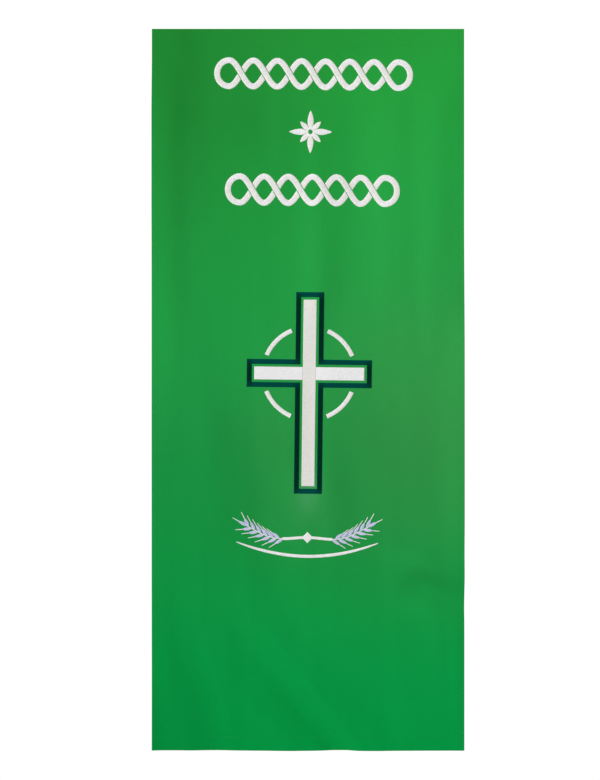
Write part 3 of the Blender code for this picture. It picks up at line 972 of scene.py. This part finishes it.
def floor_finish():
    """Matt pale paper that thins to nothing between two distances from its middle."""
    graph = Graph("floor_paper", roughness=0.9, shine=0.1)
    graph.shader.inputs["Base Color"].default_value = (FLOOR_LIGHT, FLOOR_LIGHT, FLOOR_LIGHT, 1.0)
    x, y, _ = graph.place()
    away = graph.maths("SQRT", graph.maths("ADD", graph.product(x, x), graph.product(y, y)))
    graph.feed(graph.shader.inputs["Alpha"], graph.rise(away, FLOOR_GONE, FLOOR_FULL))
    return graph.material


def make_stage():
    """A round pale floor well below the hem, thinning out at its rim into the pale surround."""
    turn = 2 * math.pi * np.arange(FLOOR_SIDES) / FLOOR_SIDES
    x, y = FLOOR_RADIUS * np.cos(turn), FLOOR_RADIUS * np.sin(turn)
    mesh = bpy.data.meshes.new("floor")
    mesh.from_pydata(np.stack([x, y, np.full(FLOOR_SIDES, FLOOR_Z)], axis=1), [], [list(range(FLOOR_SIDES))])
    mesh.materials.append(floor_finish())
    floor = bpy.data.objects.new("floor", mesh)
    bpy.context.scene.collection.objects.link(floor)


def make_surround():
    """Pale surround, by direction: white behind the cloth, and elsewhere pale up to the horizon and
    dimmer above."""
    world = bpy.data.worlds.new("soft_surround")
    world.use_nodes = True
    bpy.context.scene.world = world
    nodes, links = world.node_tree.nodes, world.node_tree.links
    parts = nodes.new("ShaderNodeSeparateXYZ")
    links.new(nodes.new("ShaderNodeTexCoord").outputs["Generated"], parts.inputs[0])

    def ranged(value, from_low, from_high, to_low, to_high):
        node = nodes.new("ShaderNodeMapRange")
        node.interpolation_type = "SMOOTHSTEP"
        for socket, given in zip(node.inputs, (value, from_low, from_high, to_low, to_high)):
            if isinstance(given, bpy.types.NodeSocket):
                links.new(given, socket)
            else:
                socket.default_value = given
        return node.outputs["Result"]

    around = ranged(parts.outputs["Z"], DIMS_FROM, DIMS_TO, SURROUND_LEVEL, SURROUND_HIGH)
    pale = ranged(parts.outputs["Y"], BEHIND_FROM, BEHIND_TO, around, SURROUND_BEHIND)
    links.new(pale, nodes["Background"].inputs["Color"])


def facing(way):
    """Turn that points a light, which shines along its own -Z, along way."""
    return (math.atan2(math.hypot(way[0], way[1]), -way[2]), 0.0, math.atan2(-way[0], way[1]))


def add_softbox(name, place, aim, size, power):
    """A square soft light at place, turned to face aim."""
    light = bpy.data.lights.new(name, "AREA")
    light.size = size
    light.energy = power
    lamp = bpy.data.objects.new(name, light)
    bpy.context.scene.collection.objects.link(lamp)
    lamp.location = place
    lamp.rotation_euler = facing(np.array(aim) - np.array(place))


def add_distant_light(name, way, spread, strength):
    """Even light from afar that travels along way, softened over the angle spread."""
    light = bpy.data.lights.new(name, "SUN")
    light.angle = spread
    light.energy = strength
    lamp = bpy.data.objects.new(name, light)
    bpy.context.scene.collection.objects.link(lamp)
    lamp.rotation_euler = facing(way)


def make_camera():
    """Face on, level with the middle of the picture, with a long lens."""
    lens = bpy.data.cameras.new("camera")
    lens.lens = LENS
    lens.sensor_width = SENSOR
    camera = bpy.data.objects.new("camera", lens)
    bpy.context.scene.collection.objects.link(camera)
    camera.location = CAMERA_PLACE
    camera.rotation_euler = (math.pi / 2, 0.0, 0.0)
    bpy.context.scene.camera = camera


green = cloth_finish()
# Each thread's level colour is its upright colour with painted sheen
green_thread = thread_finish(
    "green_sewing_thread",
    upright=(0.014, 0.335, 0.052),
    level=(0.014, 0.350, 0.054),
    roughness=0.6,
    shine=0.05,
)
white_thread = thread_finish(
    "white_thread",
    upright=(0.91, 0.89, 0.85),
    level=(0.97, 0.96, 0.97),
    roughness=0.5,
    shine=0.12,
)
dark_thread = thread_finish(
    "dark_green_thread",
    upright=(0.0003, 0.030, 0.0203),
    level=(0.0003, 0.0715, 0.0585),
    roughness=0.6,
    shine=0.01,
)
lavender_thread = thread_finish(
    "lavender_thread",
    upright=(0.60, 0.62, 0.84),
    level=(0.68, 0.70, 0.92),
    roughness=0.5,
    shine=0.12,
)

panel = make_panel(green)
hem_stitches = [
    make_hem_stitches("hem_stitches_face", green_thread, back=False),
    make_hem_stitches("hem_stitches_back", green_thread, back=True),
]
back_sewing = []
make_plait("plait_upper_satin", UPPER_EYES, UPPER_PLAIT_AT, white_thread, "plait_upper", back_sewing)
make_rosette(white_thread, back_sewing)
make_plait("plait_lower_satin", LOWER_EYES, LOWER_PLAIT_AT, white_thread, "plait_lower", back_sewing)
make_cross(white_thread, back_sewing)
make_edging(dark_thread, back_sewing)
make_ring(white_thread, back_sewing)
make_ears(lavender_thread, white_thread, back_sewing)
make_stalks(white_thread, back_sewing)
make_bow(white_thread, back_sewing)
stitched("bobbin_stitches", back_sewing, white_thread, "thread_white")

make_stage()
make_surround()
add_distant_light("side_light", way=(0.82, 0.40, -0.36), spread=math.radians(14.0), strength=1.65)
add_softbox("front_softbox", place=(0.9, -3.0, 0.7), aim=(0.0, 0.0, -0.55), size=1.5, power=29.0)
add_softbox("back_softbox", place=(-0.8, 2.6, 0.9), aim=(0.0, 0.0, -0.6), size=1.6, power=22.0)
make_camera()
bpy.context.scene.view_settings.view_transform = "Standard"
